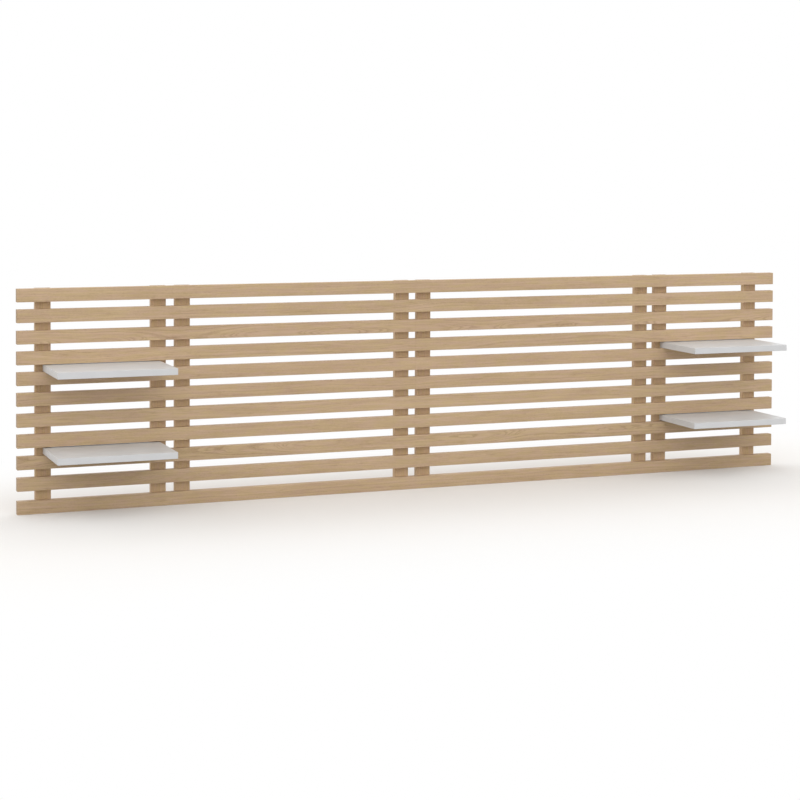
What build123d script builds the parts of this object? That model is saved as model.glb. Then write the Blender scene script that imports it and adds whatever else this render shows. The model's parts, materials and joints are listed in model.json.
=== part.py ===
from build123d import *
import os

# Slatted headboard for a double bed: four panels of level slats, screwed from behind to upright
# battens, stand edge to edge, and each side panel carries two shelves.
# Lengths are in millimetres. X runs along the headboard, Y towards the wall and Z up.
# The origin is at the middle of the width and of the depth, at the height of the bottom edge.

# Panels, from left to right
side_panel_width = 504.0
left_centre_panel_width = 858.0
right_centre_panel_width = 934.0
seam_clearance = 0.1

# Slats, and the gaps between them from the top down as shares of the usual gap
slat_height = 42.5
slat_thickness = 25.0
slat_edge_radius = 1.0
slat_gap = 23.5
gap_shares = [1, 1.09, 1, 1, 1, 1.04, 1, 1.14, 1.1, 1.36]

# Battens: an inset is measured from a panel's edge to the batten's middle line
batten_width = 50.0
batten_thickness = 20.0
batten_edge_radius = 1.0
end_batten_inset = 86.0
seam_batten_inset = 40.5

# Shelves: each passes through a gap between two slats and meets the battens behind them
shelf_depth = 248.0
shelf_play = 2.5
shelf_end_overhang = 1.25
shelf_edge_radius = 1.0

# The row of slats above each shelf, as a share of the way down the rows, and how far the shelf is
# lifted off the slat below, as a share of its play in the gap
upper_shelf_row_share = 0.3
lower_shelf_row_share = 0.7
upper_lift_share = 0
lower_lift_share = 0.5

# Countersunk wood screws, all alike, from the battens' backs into the slats
screw_diameter = 4.0
screw_head_diameter = 8.0
screw_rim = 0.4
screw_point_length = 5.0
screw_clearance = 0.1
screw_reach_share = 0.6
hole_end_room = 1.0
recess_span = 4.6
recess_width = 1.2
recess_depth = 1.6

# Steel plates, let in flush with the battens' backs
plate_thickness = 2.5
plate_corner_radius = 3.0
plate_end_margin = 10.0
plate_clearance = 0.2
column_offset_share = 0.25

# Joining plates across the seams, behind rows of slats at these shares of the way down
joining_plate_height = 30.0
joining_row_shares = [0.2, 0.9]

# Keyhole plates behind the two topmost rows, which hang the headboard on screws in the wall
hanger_width = 30.0
keyhole_entry_diameter = 10.0
keyhole_slot_width = 5.2
keyhole_travel = 14.0
pocket_width = 14.0
pocket_depth_share = 0.5

# Shelf supports: a plate on the batten's back with a rod through the batten into the shelf
support_plate_width = 20.0
rod_diameter = 10.0
rod_reach_share = 0.45
rod_tip_chamfer = 1.0
rod_clearance = 0.15
cut_overrun = 1.0

# Sizes that follow from the ones above
slat_count = len(gap_shares) + 1
slat_gaps = [slat_gap * share for share in gap_shares]
headboard_height = slat_height * slat_count + sum(slat_gaps)
panel_names = ["left_side", "left_centre", "right_centre", "right_side"]
panel_widths = [side_panel_width, left_centre_panel_width, right_centre_panel_width, side_panel_width]
headboard_width = sum(panel_widths)
seams = [sum(panel_widths[:count]) - headboard_width / 2 for count in range(len(panel_widths) + 1)]
shelf_thickness = slat_gap - shelf_play
column_offset = batten_width * column_offset_share
screw_length = batten_thickness + slat_thickness * screw_reach_share
rod_length = batten_thickness + shelf_depth * rod_reach_share

# Rows of slats, counted from 0 at the top
last_row = slat_count - 1
row_above_upper_shelf = round(last_row * upper_shelf_row_share)
row_above_lower_shelf = round(last_row * lower_shelf_row_share)
upper_shelf_rows = [row_above_upper_shelf, row_above_upper_shelf + 1]
lower_shelf_rows = [row_above_lower_shelf, row_above_lower_shelf + 1]
joining_rows = [round(last_row * share) for share in joining_row_shares]
hanger_rows = [0, 1]

# Planes across the depth: the wall, the battens' fronts and the middle of the slats
wall_y = (shelf_depth + batten_thickness) / 2
batten_front_y = wall_y - batten_thickness
slat_middle_y = batten_front_y - slat_thickness / 2
wall_plane = Plane.XZ.offset(-wall_y)


def slat_middle_z(row):
    """Height of a slat's middle line, with row 0 at the top."""
    return headboard_height - slat_height * (row + 0.5) - sum(slat_gaps[:row])


def batten_places(panel):
    """Middle lines of a panel's left and right battens."""
    left_inset = end_batten_inset if panel == 0 else seam_batten_inset
    right_inset = end_batten_inset if panel == len(panel_names) - 1 else seam_batten_inset
    return [seams[panel] + left_inset, seams[panel + 1] - right_inset]


def is_side_panel(panel):
    """Whether a panel is one of the two that carry shelves."""
    return panel in (0, len(panel_names) - 1)


def support_place(panel, side):
    """X of a shelf support, on the half of the batten that the shelf covers."""
    inwards = column_offset if side == 0 else -column_offset
    return batten_places(panel)[side] + inwards


def at_seam(panel, side):
    """Whether a batten stands beside a seam between two panels."""
    at_free_end = (panel == 0 and side == 0) or (panel == len(panel_names) - 1 and side == 1)
    return not at_free_end


def screw_columns(panel, side, row):
    """X places of the screws that hold one slat to one batten."""
    middle = batten_places(panel)[side]
    shelf_rows = upper_shelf_rows + lower_shelf_rows
    if row in joining_rows and at_seam(panel, side):
        return [middle - column_offset, middle + column_offset]
    if row in shelf_rows and is_side_panel(panel):
        return [support_place(panel, side)]
    return [middle]


def on_wall(x, z, shape):
    """Place a shape, drawn pointing into the wood, at one place of the wall plane."""
    return wall_plane * Pos(x, z) * shape


def turned(points):
    """A solid turned about Z from its half outline."""
    return revolve(make_face(Plane.XZ * Polyline(*points, close=True)), Axis.Z)


def screw():
    """Countersunk screw with a cross recess, its head flush with the wall plane."""
    head_radius = screw_head_diameter / 2
    shank_radius = screw_diameter / 2
    head_end = screw_rim + head_radius - shank_radius
    body = turned([
        (0, 0),
        (head_radius, 0),
        (head_radius, screw_rim),
        (shank_radius, head_end),
        (shank_radius, screw_length - screw_point_length),
        (0, screw_length),
    ])
    arm = Rectangle(recess_span, recess_width)
    cross = arm + Rot(Z=90) * arm
    return body - cutter(cross, recess_depth)


def screw_hole():
    """Countersunk hole for the screw, which stops past the screw's point."""
    head_radius = screw_head_diameter / 2 + screw_clearance
    shank_radius = screw_diameter / 2 + screw_clearance
    hole_end = screw_length + hole_end_room
    return turned([
        (0, -cut_overrun),
        (head_radius, -cut_overrun),
        (head_radius, screw_rim),
        (shank_radius, screw_rim + head_radius - shank_radius),
        (shank_radius, hole_end),
        (0, hole_end),
    ])


def cutter(sketch, depth):
    """Block that cuts a flat outline into the wood from behind the wall plane."""
    return extrude(Pos(0, 0, -cut_overrun) * sketch, amount=depth + cut_overrun)


def plate_outline(width, height, clearance=0):
    """Rectangle with rounded corners, larger all round by a clearance."""
    radius = plate_corner_radius + clearance
    return RectangleRounded(width + 2 * clearance, height + 2 * clearance, radius)


def upright_plate_size(rows):
    """Middle height and length of a plate screwed through two rows of slats."""
    top = slat_middle_z(rows[0])
    bottom = slat_middle_z(rows[1])
    return (top + bottom) / 2, top - bottom + 2 * plate_end_margin


def joining_plate_size(seam):
    """Middle and length of a plate across the seam at the right of a panel."""
    left = batten_places(seam)[1] - column_offset - plate_end_margin
    right = batten_places(seam + 1)[0] + column_offset + plate_end_margin
    return (left + right) / 2, right - left


def with_holes(shape, hole, places):
    """A shape less the same hole at each place of the wall plane."""
    cuts = [on_wall(x, z, hole) for x, z in places]
    return shape - cuts if cuts else shape


def screw_places(panel, side, rows):
    """Places on the wall plane of the screws in some rows of one batten."""
    return [(x, slat_middle_z(row)) for row in rows for x in screw_columns(panel, side, row)]


def eased_board(length, depth, height, axis, radius):
    """Board with its long edges slightly rounded."""
    board = Box(length, depth, height)
    return fillet(board.edges().filter_by(axis), radius)


def slat(panel, row, hole):
    """One slat, as long as its panel, with blind holes for its screws."""
    length = panel_widths[panel] - seam_clearance
    board = eased_board(length, slat_thickness, slat_height, Axis.X, slat_edge_radius)
    middle_x = (seams[panel] + seams[panel + 1]) / 2
    places = screw_places(panel, 0, [row]) + screw_places(panel, 1, [row])
    return with_holes(Pos(middle_x, slat_middle_y, slat_middle_z(row)) * board, hole, places)


def batten(panel, side, hole):
    """One upright batten with its screw holes and the seats of its plates."""
    x = batten_places(panel)[side]
    board = eased_board(batten_width, batten_thickness, headboard_height, Axis.Z, batten_edge_radius)
    board = Pos(x, batten_front_y + batten_thickness / 2, headboard_height / 2) * board
    board -= hanger_seat(x)
    if at_seam(panel, side):
        board -= joining_seats(panel if side == 1 else panel - 1)
    if is_side_panel(panel):
        for rows in (upper_shelf_rows, lower_shelf_rows):
            board -= support_seat(panel, side, rows)
    return with_holes(board, hole, screw_places(panel, side, range(slat_count)))


def keyhole_outline(entry_diameter, slot_width):
    """Round entry with a narrower slot above it."""
    slot = SlotCenterToCenter(keyhole_travel, slot_width, rotation=90)
    entry_z = -keyhole_travel / 2
    return slot + Pos(0, entry_z) * Circle(entry_diameter / 2)


def hanger_seat(x):
    """Flush seat of a keyhole plate and the pocket behind it for the wall screw's head."""
    z, height = upright_plate_size(hanger_rows)
    pocket_depth = (batten_thickness - plate_thickness) * pocket_depth_share
    seat = cutter(plate_outline(hanger_width, height, plate_clearance), plate_thickness)
    pocket = SlotCenterToCenter(keyhole_travel, pocket_width, rotation=90)
    return on_wall(x, z, seat + cutter(pocket, plate_thickness + pocket_depth))


def hanger(panel, side, hole):
    """Keyhole plate, screwed through the batten into the two topmost slats."""
    z, height = upright_plate_size(hanger_rows)
    plate = extrude(plate_outline(hanger_width, height), amount=plate_thickness)
    keyhole = keyhole_outline(keyhole_entry_diameter, keyhole_slot_width)
    plate -= cutter(keyhole, plate_thickness + cut_overrun)
    plate = on_wall(batten_places(panel)[side], z, plate)
    return with_holes(plate, hole, screw_places(panel, side, hanger_rows))


def joining_seats(seam):
    """Flush seats of the joining plates at one seam."""
    x, length = joining_plate_size(seam)
    outline = plate_outline(length, joining_plate_height, plate_clearance)
    seat = cutter(outline, plate_thickness)
    return [on_wall(x, slat_middle_z(row), seat) for row in joining_rows]


def joining_plate(seam, row, hole):
    """Flat plate screwed to the two battens beside a seam."""
    x, length = joining_plate_size(seam)
    plate = extrude(plate_outline(length, joining_plate_height), amount=plate_thickness)
    places = screw_places(seam, 1, [row]) + screw_places(seam + 1, 0, [row])
    return with_holes(on_wall(x, slat_middle_z(row), plate), hole, places)


def shelf_middle_z(rows):
    """Middle height of a shelf in the gap between two rows of slats."""
    lift_share = upper_lift_share if rows == upper_shelf_rows else lower_lift_share
    gap_bottom = slat_middle_z(rows[1]) + slat_height / 2
    play = slat_gaps[rows[0]] - shelf_thickness
    return gap_bottom + play * lift_share + shelf_thickness / 2


def support_seat(panel, side, rows):
    """Flush seat of a support's plate and the hole for its rod through the batten."""
    x = support_place(panel, side)
    z, height = upright_plate_size(rows)
    seat = cutter(plate_outline(support_plate_width, height, plate_clearance), plate_thickness)
    bore = cutter(Circle(rod_diameter / 2 + rod_clearance), batten_thickness + cut_overrun)
    return [on_wall(x, z, seat), on_wall(x, shelf_middle_z(rows), bore)]


def support(panel, side, rows, hole):
    """Shelf support, screwed through the batten into the slats above and below the shelf."""
    x = support_place(panel, side)
    z, height = upright_plate_size(rows)
    plate = extrude(plate_outline(support_plate_width, height), amount=plate_thickness)
    rod = extrude(Circle(rod_diameter / 2), amount=rod_length)
    rod = chamfer(rod.edges().sort_by(Axis.Z)[-1], rod_tip_chamfer)
    bracket = on_wall(x, z, plate) + on_wall(x, shelf_middle_z(rows), rod)
    return with_holes(bracket, hole, screw_places(panel, side, rows))


def shelf(panel, rows):
    """Shelf board with a bore in its back edge for each support's rod."""
    left, right = batten_places(panel)
    length = right - left + 2 * shelf_end_overhang
    z = shelf_middle_z(rows)
    board = Box(length, shelf_depth, shelf_thickness)
    board = fillet(board.edges(), shelf_edge_radius)
    board = Pos((left + right) / 2, batten_front_y - shelf_depth / 2, z) * board
    bore = cutter(Circle(rod_diameter / 2 + rod_clearance), rod_length + hole_end_room)
    return with_holes(board, bore, [(support_place(panel, side), z) for side in (0, 1)])


def write(name, shape):
    """Write one sub-part to its own file."""
    export_step(shape, f"parts/{name}.step")


def main():
    """Build every sub-part at its place and write it."""
    os.makedirs("parts", exist_ok=True)
    hole = screw_hole()
    panels = range(len(panel_names))
    battens = [(panel, side) for panel in panels for side in (0, 1)]

    for panel in panels:
        for row in range(slat_count):
            write(f"{panel_names[panel]}_slat_{row + 1:02d}", slat(panel, row, hole))

    for panel, side in battens:
        side_name = "left" if side == 0 else "right"
        write(f"{panel_names[panel]}_{side_name}_batten", batten(panel, side, hole))

    shelf_rows = {"upper": upper_shelf_rows, "lower": lower_shelf_rows}
    side_panels = [panel for panel in panels if is_side_panel(panel)]
    for panel in side_panels:
        for level, rows in shelf_rows.items():
            write(f"{panel_names[panel]}_{level}_shelf", shelf(panel, rows))

    joined = [(seam, row) for seam in panels[:-1] for row in joining_rows]
    plates = [joining_plate(seam, row, hole) for seam, row in joined]
    write("joining_plates", Compound([plate.solid() for plate in plates]))

    hangers = [hanger(panel, side, hole) for panel, side in battens]
    write("wall_hangers", Compound([plate.solid() for plate in hangers]))

    carried = [(panel, side, rows) for panel in side_panels for side in (0, 1)
               for rows in shelf_rows.values()]
    supports = [support(panel, side, rows, hole) for panel, side, rows in carried]
    write("shelf_supports", Compound([bracket.solid() for bracket in supports]))

    places = [place for panel, side in battens
              for place in screw_places(panel, side, range(slat_count))]
    one_screw = screw().solid()
    write("wood_screws", Compound([on_wall(x, z, one_screw) for x, z in places]))


main()
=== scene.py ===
import json
import math
import random

import bpy
from mathutils import Matrix, Vector

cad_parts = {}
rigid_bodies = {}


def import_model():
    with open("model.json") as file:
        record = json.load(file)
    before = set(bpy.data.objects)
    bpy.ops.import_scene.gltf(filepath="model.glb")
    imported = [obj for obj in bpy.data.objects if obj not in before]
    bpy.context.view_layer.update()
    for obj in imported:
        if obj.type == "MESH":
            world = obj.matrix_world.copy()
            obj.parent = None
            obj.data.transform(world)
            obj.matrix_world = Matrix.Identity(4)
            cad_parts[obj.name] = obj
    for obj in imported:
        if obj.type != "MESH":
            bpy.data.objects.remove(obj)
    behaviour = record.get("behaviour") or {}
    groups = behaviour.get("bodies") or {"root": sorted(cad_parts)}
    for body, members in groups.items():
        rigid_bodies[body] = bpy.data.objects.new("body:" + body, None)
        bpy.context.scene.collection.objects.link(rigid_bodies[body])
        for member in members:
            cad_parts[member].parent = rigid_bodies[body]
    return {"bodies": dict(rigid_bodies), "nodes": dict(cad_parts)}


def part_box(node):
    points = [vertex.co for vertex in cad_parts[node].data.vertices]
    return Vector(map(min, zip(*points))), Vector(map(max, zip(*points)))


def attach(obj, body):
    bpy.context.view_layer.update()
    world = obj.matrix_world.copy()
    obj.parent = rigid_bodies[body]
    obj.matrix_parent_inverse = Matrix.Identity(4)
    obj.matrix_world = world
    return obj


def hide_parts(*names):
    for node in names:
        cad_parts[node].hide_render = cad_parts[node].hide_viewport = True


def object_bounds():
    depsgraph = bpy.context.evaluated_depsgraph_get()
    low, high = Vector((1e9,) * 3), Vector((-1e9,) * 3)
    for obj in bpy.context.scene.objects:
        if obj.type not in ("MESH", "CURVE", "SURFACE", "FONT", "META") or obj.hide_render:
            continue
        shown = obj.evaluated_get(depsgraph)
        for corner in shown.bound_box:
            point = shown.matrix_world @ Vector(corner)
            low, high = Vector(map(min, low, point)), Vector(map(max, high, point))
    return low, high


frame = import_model()
cad_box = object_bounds()

bl_info = {
    "name": "Slatted headboard",
    "version": (1, 0, 0),
    "blender": (4, 5, 0),
    "location": "3D View > Sidebar > Headboard",
    "description": "Finishes of a slatted headboard with four shelves, and its studio stage",
    "category": "Object",
}

# Sub-parts, from the frame
BODY = next(iter(frame["bodies"]))
SLATS = sorted(name for name in frame["nodes"] if "_slat_" in name)
BATTENS = sorted(name for name in frame["nodes"] if name.endswith("_batten"))
SHELVES = sorted(name for name in frame["nodes"] if name.endswith("_shelf"))
PLATES = ["joining_plates", "wall_hangers", "shelf_supports"]
SCREWS = "wood_screws"

# Lengths below are in metres, except the camera's lens and sensor, which are in millimetres

# Camera: it is turned from the wall's normal towards the right end, in degrees, and its shift is a share
# of the picture's width
CAMERA_PLACE = (-2.40938, -5.7252, 1.1273)
CAMERA_TURN = 21.6829
CAMERA_PITCH = 1.7593
CAMERA_ROLL = 0.2471
CAMERA_LENS = 82.31
CAMERA_SENSOR = 36
CAMERA_SHIFT = -0.2275

# Floor: room below the lowest slats, and the size and brightness of its faint speckle
FLOOR_DROP = 0.0002
SPECKLE_SIZE = (0.25, 0.25, 0.25)
SPECKLE_SHARES = (0.97, 1.0)

# Screws: sides of the round parts, room and digits for reading places from the frame, how far a face's
# normal points a way to count as facing it, the angle up to which faces blend, and the seed of their turns
SCREW_SIDES = 16
POINT_ROOM = 0.00005
PLACE_DIGITS = 5
FACING = 0.5
SMOOTH_ANGLE = math.radians(30)
SCREW_SEED = 7

# Directions: a quarter turn, and the axes across a board in its grain's frame and over the floor
QUARTER_TURN = math.radians(90)
ACROSS_BOARD = (0, 1, 1)
OVER_FLOOR = (1, 1, 0)

# Rows of slats that were cut across the crown of the rings, and the crown's height in the slat; the
# other rows were cut from beside it. A crowned board's pith line sways towards and away from its face.
CROWNED_ROWS = {3: -0.017, 9: 0.010}
CROWN_DISTANCE = 0.036
CROWN_SWAY = (0, 0.050, 0.010)
PLAIN_SWAY = (0, 0.055, 0.055)
CROWN_RING_SHARE = 0.42
CROWN_RINGS = 0.65
PLAIN_RINGS = 0.34

# What differs by chance between boards: shares of the usual distance from the pith and of the usual ring
# width, the angle of the cut in degrees, and the place in the noise
PITH_SHARES = (0.6, 1.4)
RING_SHARES = (0.8, 1.25)
CUT_ANGLES = (30, 80)
NOISE_PLACES = (0, 5)

# Share of red, green and blue in a change of hue, which makes wood pinker or, below zero, yellower
HUE_SHARES = (1 / 3, -1, 1)

# Turns of the grain's own frame, whose X runs along the board
ALONG_X = Matrix.Identity(3)
ALONG_Z = Matrix.Rotation(QUARTER_TURN, 3, "Y")

# Sizes of the patterns in wood: along the board and twice across it
DRIFT_SIZE = (0.60, 0.30, 0.30)
RIPPLE_SIZE = (0.085, 0.022, 0.022)
STREAK_SIZE = (0.12, 0.0055, 0.0055)
THREAD_SIZE = (0.040, 0.0009, 0.0009)
CLOUD_SIZE = (0.20, 0.045, 0.045)
STROKE_SIZE = (0.034, 0.0030, 0.0030)
STROKE_PATCH_SIZE = (0.13, 0.024, 0.024)
PORE_SIZE = (0.0060, 0.00034, 0.00034)
HUE_SIZE = (0.060, 0.009, 0.009)

# Spans over which noise turns into a mark. The middle of noise is 0.5, and most of it is in the wide span.
NOISE_MIDDLE = (0.5, 0.5, 0.5)
WIDE_SPAN = (0.25, 0.75)
SOFT_SPAN = (0.3, 0.7)
RAY_SPAN = (0.58, 0.70)
STROKE_SPAN = (0.52, 0.72)
STROKE_PATCH_SPAN = (0.46, 0.64)
PORE_SPAN = (0.56, 0.66)

# Results of a span that rises to a full mark or falls from one
RISING = (0.0, 1.0)
FALLING = (1.0, 0.0)

# Rings: the shares of a year over which they darken and pale, how often their width strays for each ring
# and by how many rings, and how far the pith line ripples
DARKENING = (0.0, 0.10)
PALING = (0.12, 0.70)
STRAY_RATE = 0.45
STRAY_RINGS = 3.0
RIPPLE_REACH = (0, 0.0030, 0.0030)

# Rays: length along the board, depth towards the pith, and how many there are in a radian round it
RAY_LENGTH = 0.011
RAY_DEPTH = 0.009
RAYS_PER_RADIAN = 190.0

# Pores: their share outside and inside the dark of a ring, and where that dark counts as full
PORE_SHARES = (0.18, 1.0)
PORE_RING_SPAN = (0.0, 0.8)

# Shade of wood, from its light colour at 0 to its dark one at 1: what the marks add, what is taken off
# their sum, and the most that it may be
STREAK_SHADE = 0.62
THREAD_SHADE = 0.34
CLOUD_SHADE = 0.40
STROKE_SHADE = 0.55
SHADE_OFF = 0.42
SHADE_MOST = 1.5

# Tints that wood's colour is multiplied by, those of the marks with how far they take hold
PINKER = (1.005, 0.988, 1.066, 1)
YELLOWER = (0.995, 1.012, 0.934, 1)
RAY_TINT = ((1.10, 1.11, 1.13, 1), 0.55)
PORE_TINT = ((0.52, 0.46, 0.40, 1), 0.50)
EDGE_TINT = ((1.12, 1.12, 1.14, 1), 0.35)
END_TINT = ((0.80, 0.76, 0.72, 1), 1.0)

# Surface of wood: what threads, rays and pores change in its roughness, the height of the threads as a
# share of the pores' depth, and the depth of the pores
THREAD_ROUGHNESS = (-0.05, 0.07)
RAY_POLISH = 0.08
PORE_ROUGHNESS = 0.15
THREAD_HEIGHT = 0.35
WOOD_BUMP = 0.00008

# Board edges: width of the worn strip on wood and on lacquer, the size and shares of its raggedness, and
# the depth within which a point counts as on an end
WOOD_EDGE = 0.0016
LACQUER_EDGE = 0.0012
RAGGED_SIZE = (0.02, 0.004, 0.004)
RAGGED_SHARES = (0.5, 1.5)
END_DEPTHS = (0.0001, 0.0004)

# Lacquer: size, tint and roughness of its faint clouds, how far its edges take their colour, and the depth
# of its waviness
HAZE_SIZE = (0.09, 0.06, 0.06)
HAZE_TINT = (0.965, 0.965, 0.965, 1)
HAZE_ROUGHNESS = (-0.04, 0.05)
EDGE_AMOUNT = 0.6
LACQUER_BUMP = 0.00002

# Zinc: spangles in a metre, sizes of the rolling lines and the dull patches, how dull each makes it, and
# what dullness and lines add to its roughness
SPANGLES = 300.0
SPANGLE_DULLNESS = 0.26
ROLLED_SIZE = (0.00035, 0.0003, 0.012)
ROLLED_DULLNESS = (-0.10, 0.10)
ROLLED_ROUGHNESS = (-0.05, 0.05)
DULL_SIZE = (0.018, 0.018, 0.018)
DULL_SPAN = (0.38, 0.68)
DULL_SHARES = (0.0, 0.55)
DULL_ROUGHNESS = 0.16
ZINC_BUMP = 0.00001

# Nodes: kinds of socket, what every finish puts out, the numbers of a Mix node's colour sockets, the room
# between nodes in the editor, and plain colours
VECTOR = "NodeSocketVector"
COLOUR = "NodeSocketColor"
NUMBER = "NodeSocketFloat"
FINISH_RESULTS = {"Color": COLOUR, "Roughness": NUMBER, "Height": NUMBER}
MIX_FIRST = 6
MIX_SECOND = 7
MIX_RESULT = 2
NODE_ROOM = 180
WHITE = (1, 1, 1, 1)
BLACK = (0, 0, 0, 1)


class WoodSettings(bpy.types.PropertyGroup):
    """Colours and figure of the slats and battens."""

    slat_light: bpy.props.FloatVectorProperty(
        name="Slat wood", description="Pale wood between the darker rings of a slat",
        subtype="COLOR", min=0, max=1, default=(0.572, 0.408, 0.249))
    slat_dark: bpy.props.FloatVectorProperty(
        name="Slat figure", description="Darker wood of a slat's rings and streaks",
        subtype="COLOR", min=0, max=1, default=(0.456, 0.312, 0.180))
    # The battens are the same timber as the slats. Their colours are painted paler than the slats' as
    # painted light, which lifts the shade in their recess behind the slats.
    batten_pale_with_painted_light: bpy.props.FloatVectorProperty(
        name="Batten wood", description="Pale wood between the darker rings of a batten",
        subtype="COLOR", min=0, max=1, default=(0.602, 0.426, 0.251))
    batten_figure_with_painted_light: bpy.props.FloatVectorProperty(
        name="Batten figure", description="Darker wood of a batten's rings and streaks",
        subtype="COLOR", min=0, max=1, default=(0.541, 0.376, 0.213))
    ring_width: bpy.props.FloatProperty(
        name="Ring width", description="Usual width of a year's ring",
        unit="LENGTH", min=0.001, max=0.01, default=0.0032)
    pith_distance: bpy.props.FloatProperty(
        name="Distance from the pith", description="How far the boards were cut from the tree's middle",
        unit="LENGTH", min=0.03, max=0.3, default=0.11)
    tone_range: bpy.props.FloatProperty(
        name="Tone range", description="Difference in tone between one board and the next",
        min=0, max=1, default=0.10)
    hue_range: bpy.props.FloatProperty(
        name="Hue range", description="Difference in hue between one board and the next",
        min=0, max=0.2, default=0.010)
    roughness: bpy.props.FloatProperty(
        name="Roughness", description="Roughness of the matt finish on the wood",
        subtype="FACTOR", min=0, max=1, default=0.58)


class ShelfSettings(bpy.types.PropertyGroup):
    """Lacquer of the four shelves."""

    colour: bpy.props.FloatVectorProperty(
        name="Lacquer", description="Colour of the shelves' lacquer",
        subtype="COLOR", min=0, max=1, default=(0.656, 0.661, 0.668))
    edge_colour: bpy.props.FloatVectorProperty(
        name="Edges", description="Lacquer where it is thinnest, along the boards' edges",
        subtype="COLOR", min=0, max=1, default=(0.632, 0.632, 0.629))
    peel_size: bpy.props.FloatProperty(
        name="Lacquer texture", description="Size of the lacquer's faint waviness",
        unit="LENGTH", min=0.0005, max=0.01, default=0.0018)
    roughness: bpy.props.FloatProperty(
        name="Roughness", description="Roughness of the satin lacquer",
        subtype="FACTOR", min=0, max=1, default=0.36)


class ScrewSettings(bpy.types.PropertyGroup):
    """Sizes of the countersunk screws: the frame's, with a thinner core and a cross recess."""

    length: bpy.props.FloatProperty(
        name="Length", description="Length from the flat of the head to the point",
        unit="LENGTH", min=0.01, max=0.1, default=0.035)
    head_diameter: bpy.props.FloatProperty(
        name="Head", description="Diameter of the countersunk head",
        unit="LENGTH", min=0.002, max=0.02, default=0.008)
    shank_diameter: bpy.props.FloatProperty(
        name="Shank", description="Diameter of the shank below the head",
        unit="LENGTH", min=0.001, max=0.01, default=0.004)
    core_diameter: bpy.props.FloatProperty(
        name="Core", description="Diameter of the lower part, which holds in the slat",
        unit="LENGTH", min=0.001, max=0.01, default=0.0034)
    shank_length: bpy.props.FloatProperty(
        name="Shank length", description="Length of the thicker part below the head",
        unit="LENGTH", min=0.001, max=0.05, default=0.012)
    point_length: bpy.props.FloatProperty(
        name="Point", description="Length of the point",
        unit="LENGTH", min=0.001, max=0.02, default=0.005)
    rim: bpy.props.FloatProperty(
        name="Rim", description="Height of the head's rim, above its cone",
        unit="LENGTH", min=0.0001, max=0.002, default=0.0004)
    rim_bevel: bpy.props.FloatProperty(
        name="Rim bevel", description="Rounding of the edge of the head's flat",
        unit="LENGTH", min=0, max=0.001, default=0.00015)
    recess_span: bpy.props.FloatProperty(
        name="Recess span", description="Length of each arm pair of the cross recess",
        unit="LENGTH", min=0.001, max=0.01, default=0.0046)
    recess_width: bpy.props.FloatProperty(
        name="Recess width", description="Width of the arms of the cross recess",
        unit="LENGTH", min=0.0005, max=0.005, default=0.0012)
    recess_depth: bpy.props.FloatProperty(
        name="Recess depth", description="Depth of the cross recess",
        unit="LENGTH", min=0.0005, max=0.005, default=0.0022)
    recess_taper: bpy.props.FloatProperty(
        name="Recess taper", description="Size of the recess's floor as a share of its mouth",
        subtype="FACTOR", min=0.1, max=1, default=0.45)


class SteelSettings(bpy.types.PropertyGroup):
    """Zinc finish of the plates, supports and screws."""

    colour: bpy.props.FloatVectorProperty(
        name="Zinc", description="Colour of the zinc on the steel",
        subtype="COLOR", min=0, max=1, default=(0.560, 0.568, 0.580))
    dull_colour: bpy.props.FloatVectorProperty(
        name="Dull zinc", description="Colour of the zinc where it has dulled",
        subtype="COLOR", min=0, max=1, default=(0.300, 0.307, 0.316))
    roughness: bpy.props.FloatProperty(
        name="Roughness", description="Roughness of the zinc",
        subtype="FACTOR", min=0, max=1, default=0.34)


class StageSettings(bpy.types.PropertyGroup):
    """Floor and light of the studio."""

    floor_colour: bpy.props.FloatVectorProperty(
        name="Floor", description="Colour that the floor gives the light it throws back",
        subtype="COLOR", min=0, max=1, default=(0.45, 0.44, 0.43))
    seen_colour: bpy.props.FloatVectorProperty(
        name="Floor in view", description="Colour of the lit floor as the camera sees it",
        subtype="COLOR", min=0, max=1, default=(0.857, 0.841, 0.820))
    floor_size: bpy.props.FloatProperty(
        name="Floor size", description="Width of the square floor",
        unit="LENGTH", min=5, max=200, default=60)
    floor_fade_start: bpy.props.FloatProperty(
        name="Fade start",
        description="Distance from the headboard at which the floor starts to turn white",
        unit="LENGTH", min=0, max=10, default=0.10)
    floor_fade_end: bpy.props.FloatProperty(
        name="Fade end", description="Distance from the headboard from which the floor is white",
        unit="LENGTH", min=0.1, max=20, default=1.25)
    back_fade_share: bpy.props.FloatProperty(
        name="Fade behind", description="How much sooner the floor turns white behind the headboard",
        min=1, max=5, default=1.25)
    ambient: bpy.props.FloatProperty(
        name="Ambient light", description="Strength of the light from all round",
        min=0, max=2, default=1.30)
    overhead_share: bpy.props.FloatProperty(
        name="Overhead share",
        description="Strength of the light from straight above as a share of the rest",
        subtype="FACTOR", min=0, max=1, default=0.20)
    overhead_start: bpy.props.FloatProperty(
        name="Overhead start", description="Height above the horizon from which the light gets weaker",
        subtype="ANGLE", min=0, max=math.radians(90), default=math.radians(56))
    key_strength: bpy.props.FloatProperty(
        name="Key light", description="Strength of the large lamp above the front",
        min=0, max=20, default=0.30)
    key_height: bpy.props.FloatProperty(
        name="Key height", description="Height of the large lamp above the horizon",
        subtype="ANGLE", min=0, max=math.radians(90), default=math.radians(50))
    key_turn: bpy.props.FloatProperty(
        name="Key turn", description="Turn of the large lamp to the left of the front",
        subtype="ANGLE", min=math.radians(-180), max=math.radians(180), default=math.radians(15))
    key_angle: bpy.props.FloatProperty(
        name="Key softness", description="Angle that the large lamp spans, seen from the headboard",
        subtype="ANGLE", min=0, max=math.radians(180), default=math.radians(70))


def fill(tree, node, inputs):
    """Link or set a node's inputs, which are given by name or number."""
    for key, value in inputs.items():
        if isinstance(value, bpy.types.NodeSocket):
            tree.links.new(value, node.inputs[key])
        else:
            node.inputs[key].default_value = value


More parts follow.
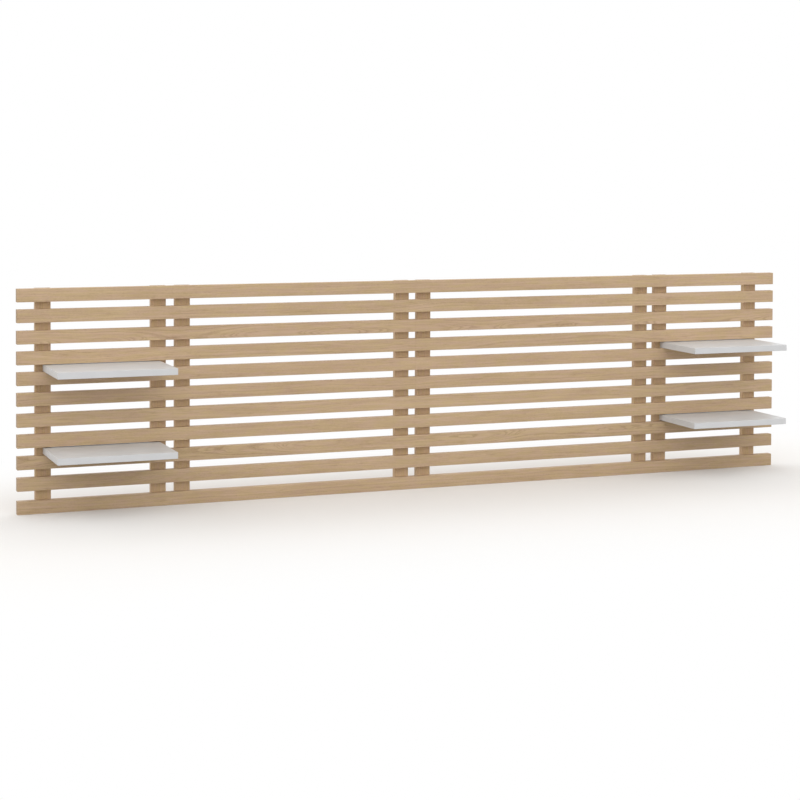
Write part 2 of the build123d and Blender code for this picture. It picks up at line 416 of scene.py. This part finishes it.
def add_node(tree, kind, inputs, **settings):
    """Add a node, set its own values, and fill its inputs."""
    node = tree.nodes.new(kind)
    node.location.x = NODE_ROOM * len(tree.nodes)
    for key, value in settings.items():
        setattr(node, key, value)
    fill(tree, node, inputs)
    return node


def calculate(tree, operation, *values, clamp=False):
    """Result of a Math node."""
    return add_node(tree, "ShaderNodeMath", dict(enumerate(values)), operation=operation,
                    use_clamp=clamp).outputs["Value"]


def product(tree, first, second):
    """One number times another."""
    return calculate(tree, "MULTIPLY", first, second)


def total(tree, first, second, clamp=False):
    """Sum of two numbers."""
    return calculate(tree, "ADD", first, second, clamp=clamp)


def vector(tree, operation, *values):
    """Result of a Vector Math node."""
    return add_node(tree, "ShaderNodeVectorMath", dict(enumerate(values)),
                    operation=operation).outputs["Vector"]


def length(tree, arrow):
    """Length of a vector."""
    return add_node(tree, "ShaderNodeVectorMath", {0: arrow}, operation="LENGTH").outputs["Value"]


def axes(tree, arrow):
    """Parts of a vector along X, Y and Z."""
    return add_node(tree, "ShaderNodeSeparateXYZ", {0: arrow}).outputs


def object_point(tree):
    """Object coordinates of a surface point."""
    return add_node(tree, "ShaderNodeTexCoord", {}).outputs["Object"]


def noise(tree, point, scale=1.0, detail=0.0, roughness=0.5, output="Fac"):
    """Result of a Noise node."""
    return add_node(tree, "ShaderNodeTexNoise", {
        "Vector": point, "Scale": scale, "Detail": detail, "Roughness": roughness}).outputs[output]


def sized_noise(tree, point, sizes, **settings):
    """Noise whose features have the given sizes along X, Y and Z."""
    stretched = vector(tree, "MULTIPLY", point, [1 / size for size in sizes])
    return noise(tree, stretched, **settings)


def wander(tree, point, sizes, reach, detail):
    """Push of each point by noise, up to half the reach to either side."""
    push = sized_noise(tree, point, sizes, detail=detail, output="Color")
    return vector(tree, "MULTIPLY", vector(tree, "SUBTRACT", push, NOISE_MIDDLE), reach)


def ramp(tree, value, span, results=RISING, smooth=True):
    """Value mapped from a span to its results, clamped at the span's ends."""
    low, high = span
    first, last = results
    return add_node(tree, "ShaderNodeMapRange", {
        "Value": value, "From Min": low, "From Max": high, "To Min": first, "To Max": last},
        interpolation_type="SMOOTHSTEP" if smooth else "LINEAR").outputs["Result"]


def mix_colour(tree, factor, first, second, blend="MIX"):
    """Result of a Mix node for colours."""
    return add_node(tree, "ShaderNodeMix", {0: factor, MIX_FIRST: first, MIX_SECOND: second},
                    data_type="RGBA", blend_type=blend, clamp_factor=False).outputs[MIX_RESULT]


def new_group(name, inputs, outputs):
    """Shader node group with named sockets: its tree, what it is given, and its output node."""
    tree = bpy.data.node_groups.new(name, "ShaderNodeTree")
    for way, sockets in (("INPUT", inputs), ("OUTPUT", outputs)):
        for socket, kind in sockets.items():
            tree.interface.new_socket(socket, in_out=way, socket_type=kind)
    return tree, tree.nodes.new("NodeGroupInput").outputs, tree.nodes.new("NodeGroupOutput")


def edge_group():
    """Masks of a board's worn edges and of its ends, from a point about its middle."""
    tree, given, result = new_group(
        "board_edges", {"Point": VECTOR, "Half Size": VECTOR, "Width": NUMBER},
        {"Edge": NUMBER, "End": NUMBER})
    point = given["Point"]
    depth = axes(tree, vector(tree, "SUBTRACT", given["Half Size"], vector(tree, "ABSOLUTE", point)))

    # On a face one of the three depths is nothing, so their middle one is the distance from an edge
    low = calculate(tree, "MINIMUM", depth["X"], depth["Y"])
    high = calculate(tree, "MAXIMUM", depth["X"], depth["Y"])
    middle = calculate(tree, "MAXIMUM", low, calculate(tree, "MINIMUM", high, depth["Z"]))

    ragged = sized_noise(tree, point, RAGGED_SIZE, detail=2.0)
    reach = product(tree, given["Width"], ramp(tree, ragged, SOFT_SPAN, RAGGED_SHARES))
    fill(tree, result, {
        "Edge": ramp(tree, calculate(tree, "DIVIDE", middle, reach), RISING, FALLING),
        "End": ramp(tree, depth["X"], END_DEPTHS, FALLING)})
    return tree


def worn_edges(tree, given, width):
    """Masks of a board's edges and ends inside another group."""
    return add_node(tree, "ShaderNodeGroup", {
        "Point": given["Point"], "Half Size": given["Half Size"], "Width": width},
        node_tree=shared_group("board_edges")).outputs


def pith_place(tree, given, point):
    """Distance from the pith line, which wanders a little along the board, and bearing round it."""
    drift = wander(tree, point, DRIFT_SIZE, given["Sway"], detail=1.0)
    ripple = wander(tree, point, RIPPLE_SIZE, RIPPLE_REACH, detail=2.0)
    straight = vector(tree, "SUBTRACT", given["Point"], given["Pith"])
    swayed = vector(tree, "ADD", straight, vector(tree, "ADD", drift, ripple))
    across = vector(tree, "MULTIPLY", swayed, ACROSS_BOARD)
    sides = axes(tree, across)
    return length(tree, across), calculate(tree, "ARCTAN2", sides["Z"], sides["Y"])


def ring_marks(tree, given, radius):
    """Rings of uneven width, darker where a year's growth starts."""
    count = calculate(tree, "DIVIDE", radius, given["Ring Width"])
    stray = add_node(tree, "ShaderNodeTexNoise", {
        "W": product(tree, count, STRAY_RATE), "Scale": 1.0, "Detail": 1.0},
        noise_dimensions="1D").outputs["Fac"]
    ring = calculate(tree, "FRACT", total(tree, count, product(tree, stray, STRAY_RINGS)))
    return product(tree, ramp(tree, ring, DARKENING), ramp(tree, ring, PALING, FALLING))


def ray_marks(tree, point, radius, bearing):
    """Rays: short thin lines on a face that the rings run along, broad flecks on one that they cross."""
    spoke = add_node(tree, "ShaderNodeCombineXYZ", {
        "X": calculate(tree, "DIVIDE", axes(tree, point)["X"], RAY_LENGTH),
        "Y": calculate(tree, "DIVIDE", radius, RAY_DEPTH),
        "Z": product(tree, bearing, RAYS_PER_RADIAN)}).outputs["Vector"]
    return ramp(tree, noise(tree, spoke, detail=1.0), RAY_SPAN)


def stroke_marks(tree, point):
    """Short dark strokes along the board, which come in patches."""
    stroke = sized_noise(tree, point, STROKE_SIZE, detail=1.0)
    patch = sized_noise(tree, point, STROKE_PATCH_SIZE, detail=1.0)
    return product(tree, ramp(tree, stroke, STROKE_SPAN), ramp(tree, patch, STROKE_PATCH_SPAN))


def pore_marks(tree, point, ring):
    """Pores, most of them in the dark of a ring."""
    speck = sized_noise(tree, point, PORE_SIZE)
    return product(tree, ramp(tree, speck, PORE_SPAN), ramp(tree, ring, PORE_RING_SPAN, PORE_SHARES))


def timber_group():
    """Solid wood: rings round the pith, rays out from it, streaks and pores along X, dark end grain."""
    tree, given, result = new_group("timber", {
        "Point": VECTOR, "Half Size": VECTOR, "Pith": VECTOR, "Shift": VECTOR, "Sway": VECTOR,
        "Ring Width": NUMBER, "Ring Depth": NUMBER, "Light Wood": COLOUR, "Dark Wood": COLOUR,
        "Tone": NUMBER, "Roughness": NUMBER}, FINISH_RESULTS)
    point = vector(tree, "ADD", given["Point"], given["Shift"])
    radius, bearing = pith_place(tree, given, point)
    ring = ring_marks(tree, given, radius)
    ray = ray_marks(tree, point, radius, bearing)
    pore = pore_marks(tree, point, ring)
    streak = sized_noise(tree, point, STREAK_SIZE, detail=2.0, roughness=0.6)
    thread = sized_noise(tree, point, THREAD_SIZE, detail=2.0)
    cloud = sized_noise(tree, point, CLOUD_SIZE, detail=1.0)

    # Colour: the marks' shade, a slight change of hue, and the tints of rays, pores, edges and ends
    shade = given["Tone"]
    for mark, weight in (
            (ring, given["Ring Depth"]),
            (ramp(tree, streak, WIDE_SPAN, smooth=False), STREAK_SHADE),
            (ramp(tree, thread, WIDE_SPAN, smooth=False), THREAD_SHADE),
            (ramp(tree, cloud, WIDE_SPAN, smooth=False), CLOUD_SHADE),
            (stroke_marks(tree, point), STROKE_SHADE)):
        shade = total(tree, shade, product(tree, mark, weight))
    shade = calculate(tree, "MAXIMUM", calculate(tree, "SUBTRACT", shade, SHADE_OFF), 0.0)
    shade = calculate(tree, "MINIMUM", shade, SHADE_MOST)
    colour = mix_colour(tree, shade, given["Light Wood"], given["Dark Wood"])
    hue = ramp(tree, sized_noise(tree, point, HUE_SIZE, detail=1.0), SOFT_SPAN)
    colour = mix_colour(tree, 1.0, colour, mix_colour(tree, hue, PINKER, YELLOWER), "MULTIPLY")
    worn = worn_edges(tree, given, WOOD_EDGE)
    for mark, (tint, amount) in (
            (ray, RAY_TINT), (pore, PORE_TINT), (worn["Edge"], EDGE_TINT), (worn["End"], END_TINT)):
        colour = mix_colour(tree, product(tree, mark, amount), colour, tint, "MULTIPLY")

    # Surface: rougher threads and pores, smoother rays, and pores that are cut in
    rough_thread = ramp(tree, thread, WIDE_SPAN, THREAD_ROUGHNESS, smooth=False)
    roughness = total(tree, given["Roughness"], rough_thread)
    roughness = calculate(tree, "SUBTRACT", roughness, product(tree, ray, RAY_POLISH))
    roughness = total(tree, roughness, product(tree, pore, PORE_ROUGHNESS), clamp=True)
    height = calculate(tree, "SUBTRACT", product(tree, thread, THREAD_HEIGHT), pore)
    fill(tree, result, {"Color": colour, "Roughness": roughness, "Height": height})
    return tree


def lacquer_group():
    """Sprayed lacquer: a faint waviness, uneven gloss and thinner edges."""
    tree, given, result = new_group("lacquer", {
        "Point": VECTOR, "Half Size": VECTOR, "Colour": COLOUR, "Edge Colour": COLOUR,
        "Peel Size": NUMBER, "Roughness": NUMBER}, FINISH_RESULTS)
    point = given["Point"]
    peel = noise(tree, point, scale=calculate(tree, "DIVIDE", 1.0, given["Peel Size"]), detail=1.0)
    haze = sized_noise(tree, point, HAZE_SIZE, detail=2.0)
    worn = worn_edges(tree, given, LACQUER_EDGE)
    colour = mix_colour(tree, ramp(tree, haze, SOFT_SPAN), given["Colour"], HAZE_TINT, "MULTIPLY")
    colour = mix_colour(tree, product(tree, worn["Edge"], EDGE_AMOUNT), colour, given["Edge Colour"])
    roughness = total(tree, given["Roughness"], ramp(tree, haze, SOFT_SPAN, HAZE_ROUGHNESS))
    fill(tree, result, {"Color": colour, "Roughness": roughness, "Height": peel})
    return tree


def zinc_group():
    """Bright zinc on steel: soft spangles, fine rolling lines and dull patches."""
    tree, given, result = new_group("zinc", {
        "Point": VECTOR, "Colour": COLOUR, "Dull Colour": COLOUR, "Roughness": NUMBER}, FINISH_RESULTS)
    point = given["Point"]
    cells = add_node(tree, "ShaderNodeTexVoronoi", {"Vector": point, "Scale": SPANGLES}).outputs["Color"]
    spangle = add_node(tree, "ShaderNodeSeparateColor", {"Color": cells}).outputs["Red"]
    rolled = sized_noise(tree, point, ROLLED_SIZE, detail=1.0)
    patch = sized_noise(tree, point, DULL_SIZE, detail=3.0)
    dull = total(tree, ramp(tree, patch, DULL_SPAN, DULL_SHARES), product(tree, spangle, SPANGLE_DULLNESS))
    dull = total(tree, dull, ramp(tree, rolled, SOFT_SPAN, ROLLED_DULLNESS), clamp=True)
    colour = mix_colour(tree, dull, given["Colour"], given["Dull Colour"])
    rougher = total(tree, product(tree, dull, DULL_ROUGHNESS),
                    ramp(tree, rolled, SOFT_SPAN, ROLLED_ROUGHNESS))
    roughness = total(tree, given["Roughness"], rougher, clamp=True)
    fill(tree, result, {"Color": colour, "Roughness": roughness, "Height": rolled})
    return tree


def shared_group(name):
    """Node group used by several materials, built the first time that it is asked for."""
    makers = {"board_edges": edge_group, "timber": timber_group, "lacquer": lacquer_group,
              "zinc": zinc_group}
    return bpy.data.node_groups.get(name) or makers[name]()


def rgba(colour):
    """Colour with a full alpha."""
    return (*colour, 1)


def centre_and_half(node, turn):
    """Middle and half size of a board's box, in the frame of its grain."""
    low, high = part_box(node)
    half = turn @ ((high - low) / 2)
    return turn @ ((low + high) / 2), Vector(abs(size) for size in half)


def placed_point(tree, middle, turn):
    """Object coordinates about a board's middle, with X along its grain."""
    return add_node(tree, "ShaderNodeMapping", {
        "Vector": object_point(tree), "Location": -middle, "Rotation": turn.to_euler()}).outputs["Vector"]


def empty_material(name):
    """Node material with no nodes yet."""
    material = bpy.data.materials.new(name)
    material.use_nodes = True
    material.node_tree.nodes.clear()
    return material


def finish_material(material, group, values, bump_depth, metallic=0.0):
    """Principled shader fed by one of the shared groups."""
    tree = material.node_tree
    finish = add_node(tree, "ShaderNodeGroup", values, node_tree=shared_group(group)).outputs
    bump = add_node(tree, "ShaderNodeBump", {"Height": finish["Height"], "Distance": bump_depth})
    shader = add_node(tree, "ShaderNodeBsdfPrincipled", {
        "Base Color": finish["Color"], "Roughness": finish["Roughness"],
        "Normal": bump.outputs["Normal"], "Metallic": metallic})
    add_node(tree, "ShaderNodeOutputMaterial", {"Surface": shader.outputs["BSDF"]})


def give(piece, material):
    """Put a material on a CAD node, in place of the ones that it had."""
    piece.data.materials.clear()
    piece.data.materials.append(material)


def either_way(draw, size):
    """Number drawn by chance, up to half the size above or below zero."""
    return draw.uniform(-0.5, 0.5) * size


def warmed(colour, hue):
    """Wood colour moved a little towards pink, or below zero towards yellow."""
    return rgba(value * (1 + hue * share) for value, share in zip(colour, HUE_SHARES))


def timber_material(node, tree_number, turn, light, dark, wood):
    """Wood of one board. Boards with one tree number were cut from one length, so their grain runs on."""
    draw = random.Random(tree_number)
    middle, half = centre_and_half(node, turn)
    distance = wood.pith_distance * draw.uniform(*PITH_SHARES)
    cut = math.radians(draw.uniform(*CUT_ANGLES)) * draw.choice((-1, 1))
    hue = either_way(draw, wood.hue_range)
    shift = Vector([draw.uniform(*NOISE_PLACES) for axis in range(3)]) + Vector((middle.x, 0, 0))
    ring_width = wood.ring_width * draw.uniform(*RING_SHARES)
    tone = either_way(draw, wood.tone_range)
    pith = (0, distance * math.cos(cut), distance * math.sin(cut))
    sway = PLAIN_SWAY
    ring_depth = PLAIN_RINGS
    if tree_number in CROWNED_ROWS:
        pith = (0, CROWN_DISTANCE, CROWNED_ROWS[tree_number])
        sway = CROWN_SWAY
        ring_depth = CROWN_RINGS
        ring_width *= CROWN_RING_SHARE
    material = empty_material(f"{node}_wood")
    finish_material(material, "timber", {
        "Point": placed_point(material.node_tree, middle, turn),
        "Half Size": half,
        "Pith": pith,
        "Shift": shift,
        "Sway": sway,
        "Ring Width": ring_width,
        "Ring Depth": ring_depth,
        "Light Wood": warmed(light, hue),
        "Dark Wood": warmed(dark, hue),
        "Tone": tone,
        "Roughness": wood.roughness,
    }, WOOD_BUMP)
    return material


class HEADBOARD_OT_slats(bpy.types.Operator):
    """Give each slat wood whose grain runs along it and on through its row"""

    bl_idname = "headboard.slats"
    bl_label = "Slats"

    def execute(self, context):
        wood = context.scene.headboard_wood
        for node in SLATS:
            row = int(node.rsplit("_", 1)[1])
            material = timber_material(node, row, ALONG_X, wood.slat_light, wood.slat_dark, wood)
            give(frame["nodes"][node], material)
        return {"FINISHED"}


class HEADBOARD_OT_battens(bpy.types.Operator):
    """Give each batten wood with upright grain"""

    bl_idname = "headboard.battens"
    bl_label = "Battens"

    def execute(self, context):
        wood = context.scene.headboard_wood
        for number, node in enumerate(BATTENS, start=len(SLATS)):
            # The battens' paler colours hold painted light for their shaded recess.
            material = timber_material(node, number, ALONG_Z, wood.batten_pale_with_painted_light, wood.batten_figure_with_painted_light, wood)
            give(frame["nodes"][node], material)
        return {"FINISHED"}


class HEADBOARD_OT_shelves(bpy.types.Operator):
    """Give the shelves their satin lacquer"""

    bl_idname = "headboard.shelves"
    bl_label = "Shelves"

    def execute(self, context):
        shelf = context.scene.headboard_shelves
        for node in SHELVES:
            middle, half = centre_and_half(node, ALONG_X)
            material = empty_material(f"{node}_lacquer")
            finish_material(material, "lacquer", {
                "Point": placed_point(material.node_tree, middle, ALONG_X),
                "Half Size": half,
                "Colour": rgba(shelf.colour),
                "Edge Colour": rgba(shelf.edge_colour),
                "Peel Size": shelf.peel_size,
                "Roughness": shelf.roughness,
            }, LACQUER_BUMP)
            give(frame["nodes"][node], material)
        return {"FINISHED"}


def zinc_material(steel):
    """Zinc shared by every steel piece, made the first time that it is asked for."""
    if "bright_zinc" in bpy.data.materials:
        return bpy.data.materials["bright_zinc"]
    material = empty_material("bright_zinc")
    finish_material(material, "zinc", {
        "Point": object_point(material.node_tree),
        "Colour": rgba(steel.colour),
        "Dull Colour": rgba(steel.dull_colour),
        "Roughness": steel.roughness,
    }, ZINC_BUMP, metallic=1.0)
    return material


class HEADBOARD_OT_plates(bpy.types.Operator):
    """Give the joining plates, wall hangers and shelf supports their zinc"""

    bl_idname = "headboard.plates"
    bl_label = "Plates"

    def execute(self, context):
        material = zinc_material(context.scene.headboard_steel)
        for node in PLATES:
            give(frame["nodes"][node], material)
        return {"FINISHED"}


def deselect_all():
    """Nothing selected, so that an operator acts on the new piece alone."""
    bpy.ops.object.select_all(action="DESELECT")


def select_piece(piece):
    """One piece selected alone, and active."""
    deselect_all()
    piece.select_set(True)
    bpy.context.view_layer.objects.active = piece


def select_only(piece, kind, wanted):
    """Open a piece in edit mode with just those of its faces or edges selected that pass a test."""
    bpy.ops.object.mode_set(mode="EDIT")
    bpy.ops.mesh.select_mode(type=kind)
    bpy.ops.mesh.select_all(action="DESELECT")
    bpy.ops.object.mode_set(mode="OBJECT")
    for part in piece.data.polygons if kind == "FACE" else piece.data.edges:
        part.select = wanted(part)
    bpy.ops.object.mode_set(mode="EDIT")


def screw_places():
    """Places across and up of the screws, from their points in the CAD node."""
    corners = [vertex.co for vertex in frame["nodes"][SCREWS].data.vertices]
    deepest = min(corner.y for corner in corners) + POINT_ROOM
    return sorted({(round(corner.x, PLACE_DIGITS), round(corner.z, PLACE_DIGITS))
                   for corner in corners if corner.y < deepest})


def bevel_rim(screw, size, wall_y):
    """Rounding of the edge of the head's flat."""
    corners = screw.data.vertices

    def on_flat(edge):
        return all(wall_y - corners[end].co.y < POINT_ROOM for end in edge.vertices)

    select_only(screw, "EDGE", on_flat)
    bpy.ops.mesh.bevel(offset=size.rim_bevel, segments=1, affect="EDGES")
    bpy.ops.object.mode_set(mode="OBJECT")


def model_screw_body(size, wall_y):
    """Head, shank, core and point, extruded down from the flat of the head."""
    head, shank, core = size.head_diameter / 2, size.shank_diameter / 2, size.core_diameter / 2
    cone = head - shank
    step = shank - core
    core_length = size.length - size.rim - cone - size.shank_length - step - size.point_length
    deselect_all()
    bpy.ops.mesh.primitive_circle_add(
        vertices=SCREW_SIDES, radius=head, fill_type="NGON", location=(0, wall_y, 0),
        rotation=(-QUARTER_TURN, 0, 0))
    screw = bpy.context.object
    bpy.ops.object.transform_apply(location=True, rotation=True, scale=True)
    bpy.ops.object.mode_set(mode="EDIT")
    for drop, share in ((size.rim, 1), (cone, shank / head), (size.shank_length, 1),
                        (step, core / shank), (core_length, 1)):
        bpy.ops.mesh.extrude_region_move(TRANSFORM_OT_translate={"value": (0, -drop, 0)})
        bpy.ops.transform.resize(value=(share, 1, share))
    bpy.ops.mesh.extrude_region_move(TRANSFORM_OT_translate={"value": (0, -size.point_length, 0)})
    bpy.ops.mesh.merge(type="COLLAPSE")
    bpy.ops.mesh.select_all(action="SELECT")
    bpy.ops.mesh.normals_make_consistent(inside=False)
    bpy.ops.object.mode_set(mode="OBJECT")
    bevel_rim(screw, size, wall_y)
    return screw


def cut_recess(screw, size, wall_y):
    """Cross recess in the head: two tapered arms, one across the other."""
    for turn in (0, QUARTER_TURN):
        deselect_all()
        bpy.ops.mesh.primitive_cube_add(
            size=1, location=(0, wall_y + (size.rim - size.recess_depth) / 2, 0), rotation=(0, turn, 0),
            scale=(size.recess_span, size.recess_depth + size.rim, size.recess_width))
        arm = bpy.context.object
        select_only(arm, "FACE", lambda face: face.normal.y < -FACING)
        bpy.ops.transform.resize(value=(size.recess_taper, 1, size.recess_taper))
        bpy.ops.object.mode_set(mode="OBJECT")
        cut = screw.modifiers.new("recess", "BOOLEAN")
        cut.object = arm
        select_piece(screw)
        bpy.ops.object.modifier_apply(modifier=cut.name)
        bpy.data.meshes.remove(arm.data)


def copy_screws(screw, places):
    """One screw at each place, each turned by chance as driven, joined into one piece."""
    draw = random.Random(SCREW_SEED)
    copies = []
    for x, z in places:
        select_piece(screw)
        bpy.ops.object.duplicate(linked=False)
        copy = bpy.context.object
        copy.location = (x, 0, z)
        copy.rotation_euler.y = draw.uniform(0, QUARTER_TURN)
        copies.append(copy)
    bpy.data.meshes.remove(screw.data)
    deselect_all()
    for copy in copies:
        copy.select_set(True)
    bpy.context.view_layer.objects.active = copies[0]
    bpy.ops.object.join()
    bpy.ops.object.transform_apply(location=True, rotation=True, scale=True)
    bpy.ops.object.shade_smooth_by_angle(angle=SMOOTH_ANGLE)
    return bpy.context.object


class HEADBOARD_OT_screws(bpy.types.Operator):
    """Model the countersunk screws with their cross recesses"""

    bl_idname = "headboard.screws"
    bl_label = "Screws"

    def execute(self, context):
        size = context.scene.headboard_screws
        wall_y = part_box(SCREWS)[1].y
        screw = model_screw_body(size, wall_y)
        cut_recess(screw, size, wall_y)
        piece = copy_screws(screw, screw_places())
        piece.name = "countersunk_screws"
        piece.data.materials.append(zinc_material(context.scene.headboard_steel))
        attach(piece, BODY)
        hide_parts(SCREWS)
        return {"FINISHED"}


def seen_ray(tree):
    """One where a ray comes from the camera, a gloss or a clear surface."""
    path = add_node(tree, "ShaderNodeLightPath", {}).outputs
    seen = calculate(tree, "MAXIMUM", path["Is Camera Ray"], path["Is Glossy Ray"])
    return calculate(tree, "MAXIMUM", seen, path["Is Transmission Ray"])


def mix_shader(tree, factor, first, second):
    """First shader where the factor is nothing, second one where it is full."""
    return add_node(tree, "ShaderNodeMixShader", {
        0: factor, 1: first.outputs[0], 2: second.outputs[0]})


def make_world(stage):
    """White surroundings that light the headboard at a plain level."""
    world = bpy.data.worlds.new("studio")
    bpy.context.scene.world = world
    world.use_nodes = True
    tree = world.node_tree
    tree.nodes.clear()
    direction = add_node(tree, "ShaderNodeTexCoord", {}).outputs["Generated"]
    strength = ramp(tree, axes(tree, direction)["Z"], (math.sin(stage.overhead_start), 1.0),
                    (stage.ambient, stage.ambient * stage.overhead_share))
    light = add_node(tree, "ShaderNodeBackground", {"Color": WHITE, "Strength": strength})
    white = add_node(tree, "ShaderNodeBackground", {"Color": WHITE, "Strength": 1.0})
    chosen = mix_shader(tree, seen_ray(tree), light, white)
    add_node(tree, "ShaderNodeOutputWorld", {"Surface": chosen.outputs[0]})


def floor_distance(tree, point, back_share):
    """Distance over the floor from the headboard's box, which counts for more behind it."""
    low, high = cad_box
    nearest = vector(tree, "MINIMUM", vector(tree, "MAXIMUM", point, low), high)
    gap = vector(tree, "MULTIPLY", vector(tree, "SUBTRACT", point, nearest), OVER_FLOOR)
    behind = vector(tree, "MAXIMUM", gap, (0, 0, 0))
    more = vector(tree, "MULTIPLY", behind, (0, back_share - 1, 0))
    return length(tree, vector(tree, "ADD", gap, more))


def floor_material(stage):
    """Pale floor that keeps the shadow near the headboard and turns white away from it."""
    material = empty_material("studio_floor")
    tree = material.node_tree
    point = object_point(tree)

    # What is seen of it
    distance = floor_distance(tree, point, stage.back_fade_share)
    away = ramp(tree, distance, (stage.floor_fade_start, stage.floor_fade_end))
    shaded = add_node(tree, "ShaderNodeBsdfDiffuse", {"Color": rgba(stage.seen_colour)})
    white = add_node(tree, "ShaderNodeEmission", {"Color": WHITE, "Strength": 1.0})
    seen = mix_shader(tree, away, shaded, white)

    # What it throws back
    speckle = ramp(tree, sized_noise(tree, point, SPECKLE_SIZE, detail=3.0), SOFT_SPAN, SPECKLE_SHARES)
    colour = mix_colour(tree, speckle, BLACK, rgba(stage.floor_colour))
    plain = add_node(tree, "ShaderNodeBsdfDiffuse", {"Color": colour})
    chosen = mix_shader(tree, seen_ray(tree), plain, seen)
    add_node(tree, "ShaderNodeOutputMaterial", {"Surface": chosen.outputs[0]})
    return material


def make_floor(stage):
    """Square floor just under the lowest slats."""
    deselect_all()
    bpy.ops.mesh.primitive_plane_add(
        size=stage.floor_size, location=(0, 0, cad_box[0].z - FLOOR_DROP))
    bpy.ops.object.transform_apply(location=True, rotation=True, scale=True)
    floor = bpy.context.object
    floor.name = "floor"
    floor.data.materials.append(floor_material(stage))


def make_lamp(stage):
    """Large soft lamp above the front."""
    tilt = Matrix.Rotation(QUARTER_TURN - stage.key_height, 4, "X")
    turn = Matrix.Rotation(-stage.key_turn, 4, "Z")
    bpy.ops.object.light_add(type="SUN", rotation=(turn @ tilt).to_euler())
    lamp = bpy.context.object
    lamp.name = "key_lamp"
    lamp.data.energy = stage.key_strength
    lamp.data.angle = stage.key_angle


def make_camera():
    """Camera at the height and angle that show the front, the left ends and the shelves' tops."""
    turn = (Matrix.Rotation(math.radians(-CAMERA_TURN), 4, "Z")
            @ Matrix.Rotation(math.radians(90 - CAMERA_PITCH), 4, "X")
            @ Matrix.Rotation(math.radians(CAMERA_ROLL), 4, "Z"))
    bpy.ops.object.camera_add(location=CAMERA_PLACE, rotation=turn.to_euler())
    camera = bpy.context.object
    camera.name = "camera"
    camera.data.sensor_width = CAMERA_SENSOR
    camera.data.lens = CAMERA_LENS
    camera.data.shift_y = CAMERA_SHIFT
    bpy.context.scene.camera = camera


class HEADBOARD_OT_stage(bpy.types.Operator):
    """Set the floor, the light and the camera"""

    bl_idname = "headboard.stage"
    bl_label = "Stage"

    def execute(self, context):
        stage = context.scene.headboard_stage
        make_world(stage)
        make_floor(stage)
        make_lamp(stage)
        make_camera()
        context.scene.view_settings.view_transform = "Standard"
        return {"FINISHED"}


OPERATORS = [
    HEADBOARD_OT_slats,
    HEADBOARD_OT_battens,
    HEADBOARD_OT_shelves,
    HEADBOARD_OT_plates,
    HEADBOARD_OT_screws,
    HEADBOARD_OT_stage,
]
SETTINGS = {
    "headboard_wood": WoodSettings,
    "headboard_shelves": ShelfSettings,
    "headboard_steel": SteelSettings,
    "headboard_screws": ScrewSettings,
    "headboard_stage": StageSettings,
}


class HEADBOARD_PT_panel(bpy.types.Panel):
    """Finishes and stage of the headboard"""

    bl_idname = "HEADBOARD_PT_panel"
    bl_label = "Slatted headboard"
    bl_space_type = "VIEW_3D"
    bl_region_type = "UI"
    bl_category = "Headboard"

    def draw(self, context):
        for operator in OPERATORS:
            self.layout.operator(operator.bl_idname)
        for name, group in SETTINGS.items():
            box = self.layout.box()
            for field in group.__annotations__:
                box.prop(getattr(context.scene, name), field)


def register():
    """Register the settings, the operators and the panel."""
    for group in SETTINGS.values():
        bpy.utils.register_class(group)
    for name, group in SETTINGS.items():
        setattr(bpy.types.Scene, name, bpy.props.PointerProperty(type=group))
    for operator in OPERATORS:
        bpy.utils.register_class(operator)
    bpy.utils.register_class(HEADBOARD_PT_panel)


def unregister():
    """Take everything that register added away again."""
    bpy.utils.unregister_class(HEADBOARD_PT_panel)
    for operator in reversed(OPERATORS):
        bpy.utils.unregister_class(operator)
    for name, group in SETTINGS.items():
        delattr(bpy.types.Scene, name)
        bpy.utils.unregister_class(group)


def main():
    """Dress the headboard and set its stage."""
    register()
    bpy.ops.headboard.slats()
    bpy.ops.headboard.battens()
    bpy.ops.headboard.shelves()
    bpy.ops.headboard.plates()
    bpy.ops.headboard.screws()
    bpy.ops.headboard.stage()


if __name__ == "__main__":
    main()
